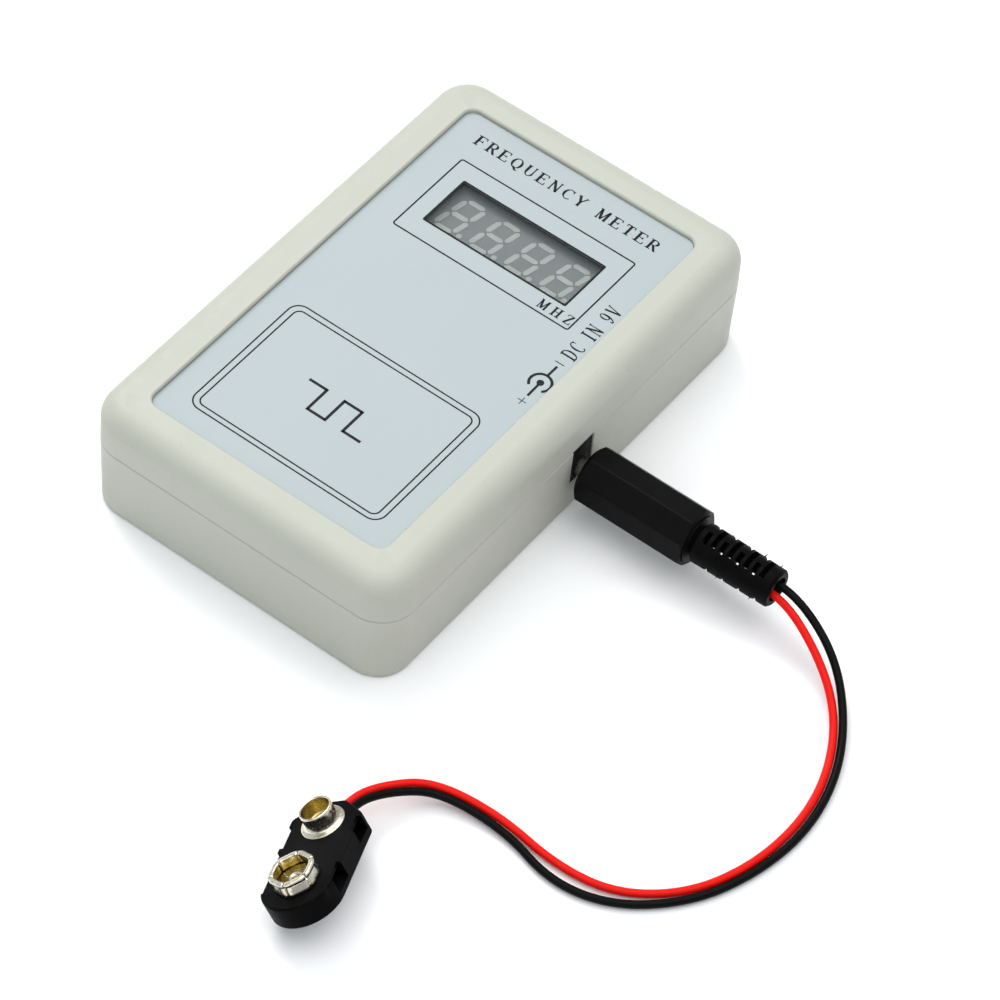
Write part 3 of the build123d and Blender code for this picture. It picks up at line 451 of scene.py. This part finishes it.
# ------------------------------------------------------------------------ snap contacts
# Profiles are (radius, height, finish), in millimetres from the snap's face: 0 plated, 1 bare brass.
CUP_PROFILE = [
    (0.02, -0.90, 1), (0.75, -0.90, 1), (0.78, 0.30, 1), (0.95, 0.42, 1), (1.90, 0.42, 1), (2.28, 0.50, 1),
    (2.40, 0.75, 1), (2.42, 3.02, 1), (2.45, 3.24, 0), (2.54, 3.36, 0), (2.64, 3.39, 0), (2.75, 3.34, 0),
    (2.82, 3.20, 0), (2.82, 2.92, 0), (2.77, 2.50, 0), (2.77, 0.80, 0), (2.82, 0.52, 0), (2.97, 0.37, 0),
    (3.50, 0.34, 0), (3.72, 0.31, 0), (3.80, 0.20, 0), (3.80, 0.01, 0),
]
CROWN_FLOOR_PROFILE = [
    (0.02, 0.15, 1), (0.42, 0.15, 1), (0.45, 0.70, 0), (0.60, 0.90, 0), (0.95, 0.96, 0), (1.35, 0.84, 0),
    (1.70, 0.56, 0), (1.95, 0.39, 0), (2.30, 0.34, 1), (3.35, 0.33, 1), (3.48, 0.28, 0), (3.50, 0.16, 0),
    (3.50, 0.01, 0),
]
PETAL_PROFILE = [
    (3.55, 0.05, 0), (3.86, 0.06, 0), (3.94, 0.22, 0), (3.88, 0.55, 0), (3.72, 1.10, 0), (3.58, 1.65, 0),
    (3.55, 1.90, 0), (3.66, 2.08, 0), (3.84, 2.20, 0), (3.90, 2.36, 0), (3.88, 2.56, 0), (3.78, 2.67, 0),
    (3.55, 2.70, 0), (3.15, 2.69, 0), (3.00, 2.64, 0), (2.95, 2.55, 0), (3.00, 2.47, 1), (3.22, 2.42, 1),
    (3.36, 2.28, 1), (3.38, 2.05, 1), (3.36, 1.75, 1), (3.50, 1.10, 1), (3.62, 0.60, 1),
]
PETAL_COUNT = 6
PETAL_HALF_ANGLE = 28.7     # degrees; the rest of each sixth is the slit between two petals


def round_wall(radius, _):
    """A full turn has the same radius all round."""
    return radius


def flat_wall(radius, angle):
    """The petals are nearly flat between their corners."""
    return min(radius * 1.008, radius * 0.965 / math.cos(angle))


def swept_metal(build, centre, profile, middle, half_angle, steps, wall):
    """Sweeps a profile round a stud, over an arc in degrees; a short arc is a closed petal."""
    whole = half_angle >= 180
    turns = range(steps if whole else steps + 1)
    rows = []
    for i in turns:
        offset = math.radians(-half_angle + 2 * half_angle * i / steps)
        angle = math.radians(middle) + offset
        outward = math.cos(angle) * SNAP_ALONG + math.sin(angle) * SNAP_ACROSS
        rows.append([build.verts.new(centre + (outward * wall(radius, offset) + STUD_AXIS * height) * MM)
                     for radius, height, _ in profile])
    pairs = list(zip(rows, rows[1:] + rows[:1])) if whole else list(zip(rows, rows[1:]))
    count = len(profile)
    for here, there in pairs:
        for j in range(count - 1 if whole else count):
            k = (j + 1) % count
            face = build.faces.new((here[j], there[j], there[k], here[k]))
            face.material_index = profile[j][2]
            face.smooth = True
    if not whole:
        build.faces.new(rows[0])
        build.faces.new(list(reversed(rows[-1])))


def contact(name, node, build):
    bmesh.ops.recalc_face_normals(build, faces=build.faces)
    mesh = bpy.data.meshes.new(name)
    build.to_mesh(mesh)
    build.free()
    mesh.materials.append(NICKEL)
    mesh.materials.append(BRASS)
    piece = bpy.data.objects.new(name, mesh)
    bpy.context.collection.objects.link(piece)
    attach(piece, "battery_lead")
    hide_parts(node)


def make_contacts():
    cup = bmesh.new()
    swept_metal(cup, CUP_CENTRE, CUP_PROFILE, 0, 180, 96, round_wall)
    contact("cup_stud", "snap_cup_contact", cup)
    crown = bmesh.new()
    swept_metal(crown, CROWN_CENTRE, CROWN_FLOOR_PROFILE, 0, 180, 72, round_wall)
    for i in range(PETAL_COUNT):
        middle = 360 / PETAL_COUNT * (i + 0.5)
        swept_metal(crown, CROWN_CENTRE, PETAL_PROFILE, middle, PETAL_HALF_ANGLE, 12, flat_wall)
    contact("crown_petals", "snap_crown_contact", crown)


make_contacts()


# ------------------------------------------------------------- moulding flash on the relief
FLASH_RADIUS, FLASH_ROOT_DEPTH, FLASH_THICKNESS = 3.52, 0.15, 0.10
# The mould's parting plane cuts the relief's surface along this direction from its axis.
PARTING_DIRECTION = (0, 0.826, 0.563)
# Station along the plug, side of the parting line, base width, length and lean, in millimetres.
FLASH = [
    (57.5, 1, 0.30, 0.30, 0.10), (60.8, 1, 0.25, 0.42, 0.05), (67.3, 1, 0.30, 0.85, 0.30),
    (70.7, 1, 0.24, 0.50, 0.05), (62.3, -1, 0.24, 0.55, -0.20), (68.9, -1, 0.26, 0.50, -0.05),
]


def make_flash():
    """Thin slivers of rubber along the mould's parting line."""
    radial = Vector(PARTING_DIRECTION)
    sideways = Vector((0, -radial.z, radial.y))
    build = bmesh.new()
    for x, side, width, length, lean in FLASH:
        root = Vector((x, SOCKET_Y / MM, SOCKET_Z / MM)) + radial * side * (FLASH_RADIUS - FLASH_ROOT_DEPTH)
        tip = root + radial * side * (length + FLASH_ROOT_DEPTH) + Vector((lean, 0, 0))
        corners = [root + Vector((dx * width / 2, 0, 0)) + sideways * dn * FLASH_THICKNESS / 2
                   for dx, dn in ((-1, -1), (1, -1), (1, 1), (-1, 1))]
        middle = [corner.lerp(tip, 0.5) + Vector((lean * 0.15, 0, 0)) for corner in corners]
        lower = [build.verts.new(corner * MM) for corner in corners]
        upper = [build.verts.new(corner * MM) for corner in middle]
        point = build.verts.new(tip * MM)
        for i in range(4):
            k = (i + 1) % 4
            build.faces.new((lower[i], lower[k], upper[k], upper[i]))
            build.faces.new((upper[i], upper[k], point))
        build.faces.new(list(reversed(lower)))
    bmesh.ops.recalc_face_normals(build, faces=build.faces)
    mesh = bpy.data.meshes.new("relief_flash")
    build.to_mesh(mesh)
    build.free()
    mesh.materials.append(NODE_MATERIALS["plug_strain_relief"])
    piece = bpy.data.objects.new("relief_flash", mesh)
    bpy.context.collection.objects.link(piece)
    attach(piece, "battery_lead")


make_flash()


# ------------------------------------------------------------------------ printed label
INK_DEPTH = 0.012 * MM


def print_shape(name, polygons):
    """Thin ink on the label, from outlines in millimetres on the label's face."""
    mesh = bpy.data.meshes.new(name)
    build = bmesh.new()
    for outline in polygons:
        corners = [build.verts.new((x * MM, y * MM, LABEL_Z)) for x, y in outline]
        raised = bmesh.ops.extrude_face_region(build, geom=[build.faces.new(corners)])
        tops = [g for g in raised["geom"] if isinstance(g, bmesh.types.BMVert)]
        bmesh.ops.translate(build, verts=tops, vec=(0, 0, INK_DEPTH))
    bmesh.ops.recalc_face_normals(build, faces=build.faces)
    build.to_mesh(mesh)
    build.free()
    mesh.materials.append(INK)
    piece = bpy.data.objects.new(name, mesh)
    bpy.context.collection.objects.link(piece)
    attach(piece, "case")


def arc_band(centre, radius, width, start, end, steps=32):
    """Quads along an arc, in degrees."""
    quads = []
    for i in range(steps):
        a, b = (math.radians(start + (end - start) * k / steps) for k in (i, i + 1))
        quads.append([(centre[0] + r * math.cos(t), centre[1] + r * math.sin(t))
                      for r, t in ((radius - width / 2, a), (radius + width / 2, a),
                                   (radius + width / 2, b), (radius - width / 2, b))])
    return quads


def bar(start, end, width):
    """A straight line of ink as one quad."""
    (ax, ay), (bx, by) = start, end
    length = math.hypot(bx - ax, by - ay)
    nx, ny = -(by - ay) / length * width / 2, (bx - ax) / length * width / 2
    return [(ax + nx, ay + ny), (ax - nx, ay - ny), (bx - nx, by - ny), (bx + nx, by + ny)]


def rounded_frame(left, right, low, high, radius, width):
    """Line of ink round a rectangle, its centreline through those sides."""
    shapes = [bar((left + radius, low), (right - radius, low), width),
              bar((left + radius, high), (right - radius, high), width),
              bar((left, low + radius), (left, high - radius), width),
              bar((right, low + radius), (right, high - radius), width)]
    for x, y, start in ((right - radius, high - radius, 0), (left + radius, high - radius, 90),
                        (left + radius, low + radius, 180), (right - radius, low + radius, 270)):
        shapes += arc_band((x, y), radius, width, start, start + 90, 10)
    return shapes


# Serif capitals in a box one unit high: thick stems, thin arms and small feet.
STEM, HAIR, FOOT = 0.19, 0.075, 0.10
THIN_STEM = HAIR * 1.3


def stem(x):
    """Upright stroke of the cap's height with a foot at each end."""
    shapes = [bar((x, 0.0), (x, 1.0), STEM)]
    for level in (HAIR / 2, 1 - HAIR / 2):
        shapes.append(bar((x - STEM / 2 - FOOT, level), (x + STEM / 2 + FOOT, level), HAIR))
    return shapes


def oval(cx, cy, rx, ry, start, end, thick, steps=24):
    """Arc of an oval, thick where it runs upright and thin where it runs across."""
    quads = []
    for i in range(steps):
        corners = []
        for k, sides in ((i, (-1, 1)), (i + 1, (1, -1))):
            t = math.radians(start + (end - start) * k / steps)
            width = HAIR + (thick - HAIR) * abs(math.cos(t)) ** 1.5
            for side in sides:
                corners.append((cx + (rx + side * width / 2) * math.cos(t),
                                cy + (ry + side * HAIR / 2) * math.sin(t)))
        quads.append(corners)
    return quads


def thin_line(start, end):
    return bar(start, end, HAIR)


# Strokes and width of each character in use.
GLYPHS = {
    "F": (stem(0.16) + [
        thin_line((0.16, 0.977), (0.66, 0.977)), thin_line((0.66, 1.0), (0.66, 0.78)),
        thin_line((0.16, 0.52), (0.50, 0.52)), thin_line((0.50, 0.62), (0.50, 0.42))], 0.72),
    "E": (stem(0.16) + [
        thin_line((0.16, 0.977), (0.66, 0.977)), thin_line((0.66, 1.0), (0.66, 0.78)),
        thin_line((0.16, 0.52), (0.50, 0.52)), thin_line((0.50, 0.62), (0.50, 0.42)),
        thin_line((0.16, 0.023), (0.70, 0.023)), thin_line((0.70, 0.0), (0.70, 0.24))], 0.76),
    "R": (stem(0.16) + [
        thin_line((0.16, 0.977), (0.40, 0.977)), thin_line((0.16, 0.50), (0.40, 0.50))]
        + oval(0.40, 0.739, 0.22, 0.239, -90, 90, STEM) + [
        bar((0.38, 0.50), (0.68, 0.03), STEM * 0.9), thin_line((0.60, 0.023), (0.80, 0.023))], 0.78),
    "Q": (oval(0.42, 0.5, 0.33, 0.478, 0, 360, STEM, steps=36) + [
        bar((0.34, 0.12), (0.62, -0.16), STEM * 0.8), thin_line((0.58, -0.16), (0.78, -0.13))], 0.84),
    "C": (oval(0.44, 0.5, 0.34, 0.478, 48, 312, STEM, steps=30) + [
        thin_line((0.67, 1.0), (0.67, 0.74))], 0.78),
    "U": ([
        bar((0.18, 0.34), (0.18, 1.0), STEM), thin_line((0.04, 0.977), (0.34, 0.977)),
        bar((0.68, 0.34), (0.68, 1.0), THIN_STEM), thin_line((0.58, 0.977), (0.80, 0.977))]
        + oval(0.43, 0.34, 0.25, 0.318, 180, 360, STEM * 0.8), 0.84),
    "N": ([
        bar((0.17, 0.0), (0.17, 1.0), THIN_STEM), thin_line((0.06, 0.023), (0.28, 0.023)),
        thin_line((0.02, 0.977), (0.22, 0.977)), bar((0.16, 0.98), (0.70, 0.02), STEM),
        bar((0.70, 0.0), (0.70, 1.0), THIN_STEM), thin_line((0.60, 0.977), (0.82, 0.977))], 0.86),
    "M": ([
        bar((0.16, 0.0), (0.16, 1.0), THIN_STEM), thin_line((0.05, 0.023), (0.27, 0.023)),
        thin_line((0.03, 0.977), (0.20, 0.977)), bar((0.17, 0.98), (0.46, 0.06), STEM),
        bar((0.46, 0.02), (0.76, 1.0), THIN_STEM), bar((0.78, 0.0), (0.78, 1.0), STEM),
        thin_line((0.67, 0.023), (0.90, 0.023)), thin_line((0.75, 0.977), (0.90, 0.977))], 0.94),
    "H": (stem(0.18) + stem(0.68) + [thin_line((0.18, 0.51), (0.68, 0.51))], 0.86),
    "Y": ([
        bar((0.40, 0.0), (0.40, 0.46), STEM), thin_line((0.28, 0.023), (0.52, 0.023)),
        bar((0.40, 0.44), (0.13, 0.98), STEM), bar((0.42, 0.44), (0.70, 0.98), THIN_STEM),
        thin_line((0.02, 0.977), (0.26, 0.977)), thin_line((0.60, 0.977), (0.80, 0.977))], 0.80),
    "T": (stem(0.38) + [
        thin_line((0.06, 0.977), (0.70, 0.977)), thin_line((0.07, 1.0), (0.07, 0.78)),
        thin_line((0.69, 1.0), (0.69, 0.78))], 0.76),
    "Z": ([
        thin_line((0.08, 0.977), (0.64, 0.977)), thin_line((0.09, 1.0), (0.09, 0.76)),
        bar((0.60, 0.97), (0.12, 0.03), STEM), thin_line((0.06, 0.023), (0.66, 0.023)),
        thin_line((0.65, 0.0), (0.65, 0.26))], 0.72),
    "I": (stem(0.20), 0.40),
    "D": (stem(0.16) + [
        thin_line((0.16, 0.977), (0.36, 0.977)), thin_line((0.16, 0.023), (0.36, 0.023))]
        + oval(0.36, 0.5, 0.36, 0.477, -90, 90, STEM), 0.82),
    "V": ([
        bar((0.14, 0.98), (0.42, 0.04), STEM), bar((0.42, 0.02), (0.70, 0.98), THIN_STEM),
        thin_line((0.02, 0.977), (0.27, 0.977)), thin_line((0.60, 0.977), (0.80, 0.977))], 0.80),
    "9": (oval(0.31, 0.68, 0.23, 0.30, 0, 360, STEM * 0.9, steps=30)
          + oval(0.14, 0.60, 0.40, 0.58, -75, 10, STEM * 0.9)
          + oval(0.20, 0.12, 0.06, 0.08, 100, 350, HAIR * 1.6), 0.62),
    " ": ([], 0.50),
}


def line_of_text(text, height, length, stretch):
    """Strokes of a line of capitals, spaced out to fill that length, in millimetres."""
    glyphs = [GLYPHS[letter] for letter in text]
    natural = sum(width for _, width in glyphs) * height * stretch
    gap = (length - natural) / (len(text) - 1)
    x, shapes = 0.0, []
    for strokes, width in glyphs:
        shapes += [[(x + px * height * stretch, py * height) for px, py in stroke] for stroke in strokes]
        x += width * height * stretch + gap
    return shapes


def moved(shapes, x, y, quarter_turns):
    """The same outlines, turned and then moved."""
    for _ in range(quarter_turns):
        shapes = [[(-py, px) for px, py in outline] for outline in shapes]
    return [[(px + x, py + y) for px, py in outline] for outline in shapes]


# Name: text, cap height, length, stretch, left end, baseline and quarter turns, in millimetres.
TEXTS = {
    "title_text": ("FREQUENCY METER", 2.42, 38.9, 1.06, -19.4, 37.5, 0),
    "unit_text": ("MHZ", 2.08, 7.0, 1.0, 11.3, 14.8, 0),
    "input_text": ("DC IN 9V", 2.9, 14.0, 0.66, 23.75, 9.0, 1),
}
# Name: left, right, low, high, corner radius and line width, in millimetres.
FRAMES = {
    "window_outline": (-14.95, 15.15, 18.0, 29.4, 0.15, 0.40),
    "readout_frame": (-18.4, 18.7, 13.9, 33.3, 0.45, 0.30),
    "panel_frame_outer": (-19.66, 20.05, -39.2, -10.5, 2.3, 0.28),
    "panel_frame_inner": (-18.44, 18.81, -38.15, -11.64, 1.3, 0.28),
}
POLARITY_CENTRE = (22.22, 1.70)
# Start, end and width of the symbol's lines: the ring's lead, the dot's lead, the minus and the plus.
POLARITY_LINES = [
    ((22.22, 3.8), (22.25, 6.35), 0.46), ((22.22, 1.2), (22.26, -1.9), 0.46),
    ((21.2, 7.18), (23.05, 7.18), 0.19),
    ((21.35, -3.38), (23.05, -3.38), 0.15), ((22.2, -4.22), (22.2, -2.52), 0.15),
]
WAVE_LEFT, WAVE_LOW, WAVE_HIGH, WAVE_STEP = -7.4, -27.6, -22.4, 3.7
WAVE_LINE, WAVE_OVERLAP = 0.55, 0.27


def polarity_symbol():
    """A dot joined to plus, through the gap in a ring joined to minus."""
    return (arc_band(POLARITY_CENTRE, 1.95, 0.52, -49, 229)
            + arc_band(POLARITY_CENTRE, 0.33, 0.66, 0, 360, 24)
            + [bar(*line) for line in POLARITY_LINES])


def square_wave():
    """Two periods of a square wave, as one line."""
    wave, x = [], WAVE_LEFT
    for i in range(4):
        level = WAVE_LOW if i % 2 else WAVE_HIGH
        wave.append(bar((x, level), (x + WAVE_STEP, level), WAVE_LINE))
        x += WAVE_STEP
        if i < 3:
            wave.append(bar((x, WAVE_LOW - WAVE_OVERLAP), (x, WAVE_HIGH + WAVE_OVERLAP), WAVE_LINE))
    return wave


def print_label():
    for name, (text, height, length, stretch, x, y, quarter_turns) in TEXTS.items():
        print_shape(name, moved(line_of_text(text, height, length, stretch), x, y, quarter_turns))
    for name, sides in FRAMES.items():
        print_shape(name, rounded_frame(*sides))
    print_shape("polarity_symbol", polarity_symbol())
    print_shape("square_wave_mark", square_wave())


print_label()


# -------------------------------------------------------------------- stage and lights
FLOOR_HALF_SIZE, FLOOR_GAP = 6.0, 0.0002     # metres; the gap keeps the floor under the case
# Name, place, size, power and colour of each soft box, in metres and watts.
SOFT_BOXES = [
    ("key", (-0.92, 0.42, 1.02), (0.6, 0.6), 9.5, (1.0, 0.99, 0.975)),
    ("overhead", (0.1, 0.0, 1.4), (1.7, 1.7), 15.0, (1, 1, 1)),
    ("fill", (0.30, -1.35, 0.9), (1.3, 1.3), 5.4, (0.84, 0.93, 1.0)),
]
LIT_POINT = (0.03, -0.02, 0.01)
SKY_COLOUR = (0.97, 0.98, 1.0, 1)
# The surroundings are brighter behind the object than in front of it.
SKY_BRIGHT_SIDE, SKY_SPREAD, SKY_STRENGTH = (-0.2, 0.9, 0.39), (-0.6, 0.7), (0.46, 0.76)


def make_stage():
    mesh = bpy.data.meshes.new("floor")
    build = bmesh.new()
    bmesh.ops.create_grid(build, x_segments=8, y_segments=8, size=FLOOR_HALF_SIZE)
    build.to_mesh(mesh)
    build.free()
    floor = bpy.data.objects.new("floor", mesh)
    floor.location = (0.03, 0, cad_box[0][2] - FLOOR_GAP)
    bpy.context.collection.objects.link(floor)
    mesh.materials.append(stage_floor())


def soft_box(name, place, size, power, colour):
    data = bpy.data.lights.new(name, "AREA")
    data.shape = "RECTANGLE"
    data.size, data.size_y = size
    data.energy = power
    data.color = colour
    lamp = bpy.data.objects.new(name, data)
    lamp.location = place
    lamp.rotation_euler = (Vector(LIT_POINT) - Vector(place)).to_track_quat("-Z", "Y").to_euler()
    bpy.context.collection.objects.link(lamp)


def light_scene():
    for soft_box_settings in SOFT_BOXES:
        soft_box(*soft_box_settings)
    world = bpy.data.worlds.new("studio")
    world.use_nodes = True
    sky = world.node_tree
    background = sky.nodes["Background"]
    background.inputs["Color"].default_value = SKY_COLOUR
    direction = sky.nodes.new("ShaderNodeTexCoord").outputs["Generated"]
    facing = sky.nodes.new("ShaderNodeVectorMath")
    facing.operation = "DOT_PRODUCT"
    facing.inputs[1].default_value = SKY_BRIGHT_SIDE
    sky.links.new(direction, facing.inputs[0])
    fade = sky.nodes.new("ShaderNodeMapRange")
    fade.inputs["From Min"].default_value, fade.inputs["From Max"].default_value = SKY_SPREAD
    fade.inputs["To Min"].default_value, fade.inputs["To Max"].default_value = SKY_STRENGTH
    sky.links.new(facing.outputs["Value"], fade.inputs["Value"])
    sky.links.new(fade.outputs["Result"], background.inputs["Strength"])
    bpy.context.scene.world = world
    bpy.context.scene.view_settings.view_transform = "Standard"


make_stage()
light_scene()
